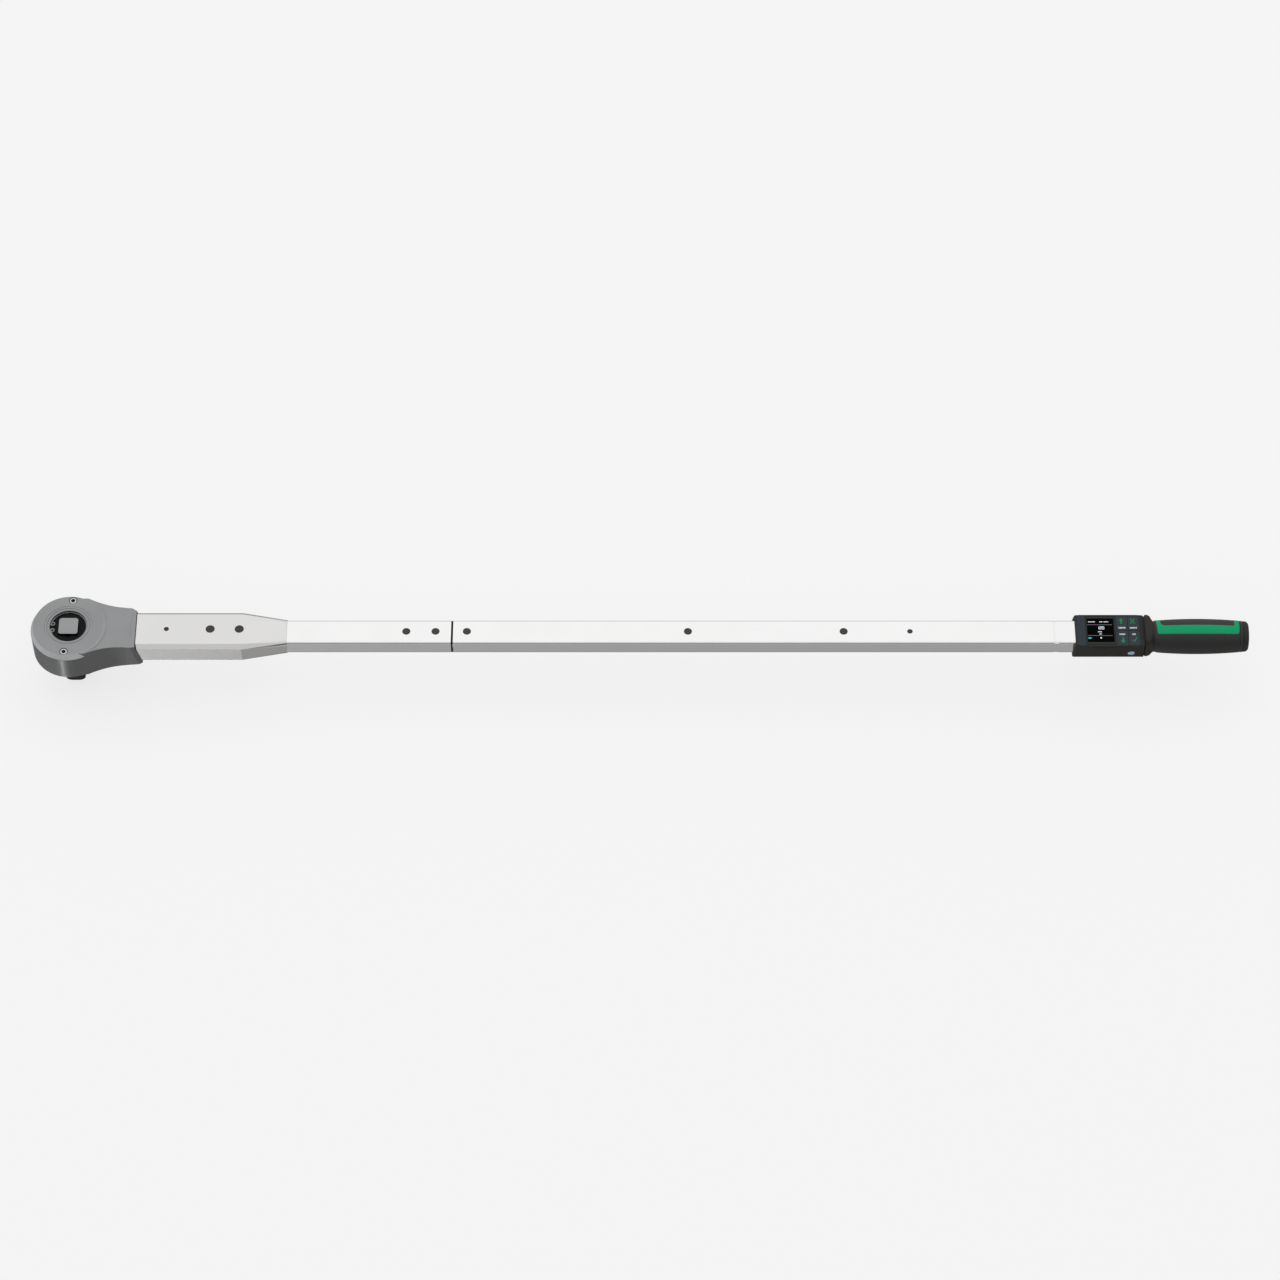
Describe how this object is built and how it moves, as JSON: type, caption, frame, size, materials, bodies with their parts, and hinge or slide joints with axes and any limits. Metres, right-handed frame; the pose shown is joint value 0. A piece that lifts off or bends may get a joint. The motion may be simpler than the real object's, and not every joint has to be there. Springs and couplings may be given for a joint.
{
  "type": "electronic click torque wrench",
  "caption": "Long flat-tube torque wrench: push-through square ratchet head on an insert spigot, display housing with keys, two-component grip with screwed cap.",
  "frame": {"origin": "where the drive's axis crosses the long axis of the tube", "axes": "+X from the drive to the handle, +Z out of the display side, +Y to the far side"},
  "size_m": [1.2115, 0.076, 0.081],
  "materials": {
    "head_steel": "satin",
    "drive_steel": "satin",
    "dark_steel": "satin",
    "bright_steel": "polished",
    "spring_steel": "satin",
    "satin_chrome": "satin",
    "tube_chrome": "satin",
    "pin_dark": "matte",
    "black_rubber": "matte",
    "housing_black": "fine grain",
    "panel_slate": "satin",
    "key_slate": "satin",
    "display_glass": "gloss",
    "board_green": "satin",
    "component": "matte",
    "lamp_lens": "gloss",
    "grip_black": "soft touch",
    "grip_green": "soft touch",
    "copper": "satin",
    "battery_wrap": "gloss"
  },
  "bodies": {
    "frame": {"head_housing": "head_steel", "head_cover": "head_steel", "cover_screws": "bright_steel", "pawl_spring": "spring_steel", "catch_spring": "spring_steel", "catch_plug": "drive_steel", "receptacle": "satin_chrome", "receptacle_pins": "pin_dark", "front_tube": "tube_chrome", "joint_ring": "black_rubber", "joiner_core": "drive_steel", "rear_tube": "tube_chrome", "tube_pins": "pin_dark", "measuring_beam": "drive_steel", "strain_gauges": "copper", "signal_cable": "component", "pivot_pin": "pin_dark", "trip_spring": "spring_steel", "spring_seat": "drive_steel", "solenoid": "copper", "chassis": "drive_steel", "housing_bottom": "housing_black", "housing_top": "housing_black", "housing_screws": "dark_steel", "front_panel": "panel_slate", "display_window": "display_glass", "display_module": "component", "main_board": "board_green", "key_switches": "spring_steel", "buzzer": "component", "signal_lamp": "lamp_lens", "collar": "housing_black", "grip_core": "drive_steel", "grip_sleeve": "grip_black", "grip_inlay": "grip_green", "battery_spring": "spring_steel", "battery_cell": "battery_wrap"},
    "ratchet": {"ratchet_wheel": "head_steel", "stop_pin": "dark_steel", "well_clips": "bright_steel", "dust_seals": "black_rubber"},
    "drive": {"drive_square": "drive_steel", "ball_spring_low": "spring_steel", "ball_spring_high": "spring_steel"},
    "ball_low": {"socket_ball_low": "bright_steel"},
    "ball_high": {"socket_ball_high": "bright_steel"},
    "pawl": {"pawl": "dark_steel"},
    "catch": {"catch_pin": "copper"},
    "lever": {"trip_lever": "drive_steel"},
    "roller": {"trip_roller": "bright_steel"},
    "latch": {"trip_block": "drive_steel"},
    "plunger": {"plunger": "bright_steel"},
    "key_up": {"key_up": "key_slate"},
    "key_cross": {"key_cross": "key_slate"},
    "key_down": {"key_down": "key_slate"},
    "key_tick": {"key_tick": "key_slate"},
    "cap_ring": {"cap_seal": "black_rubber"},
    "cap": {"end_cap": "housing_black"}
  },
  "joints": [
    {"name": "wheel_turn", "type": "hinge", "parent": "frame", "child": "ratchet", "pos_m": [0, 0, 0], "axis": [0, 0, 1], "continuous": true},
    {"name": "drive_push", "type": "slide", "parent": "ratchet", "child": "drive", "axis": [0, 0, 1], "range_m": [0, 0.044]},
    {"name": "ball_low_press", "type": "slide", "parent": "drive", "child": "ball_low", "axis": [0, 1, 0], "range_m": [0, 0.0013], "stiffness_N_per_m": 800, "springref_m": -0.001, "deforming": ["ball_spring_low"]},
    {"name": "ball_high_press", "type": "slide", "parent": "drive", "child": "ball_high", "axis": [0, 1, 0], "range_m": [0, 0.0013], "stiffness_N_per_m": 800, "springref_m": -0.001, "deforming": ["ball_spring_high"]},
    {"name": "pawl_slide", "type": "slide", "parent": "frame", "child": "pawl", "axis": [1, 0, 0], "range_m": [0, 0.0022], "stiffness_N_per_m": 1500, "springref_m": -0.001, "deforming": ["pawl_spring"]},
    {"name": "catch_press", "type": "slide", "parent": "frame", "child": "catch", "axis": [0, 0, -1], "range_m": [0, 0.0025], "stiffness_N_per_m": 2000, "springref_m": -0.001, "deforming": ["catch_spring"]},
    {"name": "trip_swing", "type": "hinge", "parent": "frame", "child": "lever", "pos_m": [0.6157, 0, 0], "axis": [0, 0, -1], "range_deg": [0, 1.6], "stiffness_Nm_per_rad": 30, "springref_deg": -1.15},
    {"name": "roller_spin", "type": "hinge", "parent": "lever", "child": "roller", "pos_m": [0.752, 0, 0], "axis": [0, 0, 1], "continuous": true},
    {"name": "latch_slide", "type": "slide", "parent": "frame", "child": "latch", "axis": [1, 0, 0], "range_m": [0, 0.0025], "deforming": ["trip_spring"]},
    {"name": "plunger_slide", "type": "slide", "parent": "frame", "child": "plunger", "axis": [1, 0, 0], "range_m": [0, 0.0031]},
    {"name": "key_up_press", "type": "slide", "parent": "frame", "child": "key_up", "axis": [0, 0, -1], "range_m": [0, 0.0006], "stiffness_N_per_m": 600, "springref_m": -0.0005},
    {"name": "key_cross_press", "type": "slide", "parent": "frame", "child": "key_cross", "axis": [0, 0, -1], "range_m": [0, 0.0006], "stiffness_N_per_m": 600, "springref_m": -0.0005},
    {"name": "key_down_press", "type": "slide", "parent": "frame", "child": "key_down", "axis": [0, 0, -1], "range_m": [0, 0.0006], "stiffness_N_per_m": 600, "springref_m": -0.0005},
    {"name": "key_tick_press", "type": "slide", "parent": "frame", "child": "key_tick", "axis": [0, 0, -1], "range_m": [0, 0.0006], "stiffness_N_per_m": 600, "springref_m": -0.0005},
    {"name": "cap_turn", "type": "hinge", "parent": "cap_ring", "child": "cap", "pos_m": [1.17, 0, 0], "axis": [1, 0, 0], "range_deg": [0, 1440]},
    {"name": "cap_travel", "type": "slide", "parent": "frame", "child": "cap_ring", "axis": [1, 0, 0], "range_m": [0, 0.0061]}
  ],
  "couplings": [
    {"joint": "latch_slide", "follows": "trip_swing", "m_per_rad": 0.085944},
    {"joint": "plunger_slide", "follows": "trip_swing", "m_per_rad": 0.10743},
    {"joint": "cap_travel", "follows": "cap_turn", "m_per_rad": 0.00023873}
  ]
}
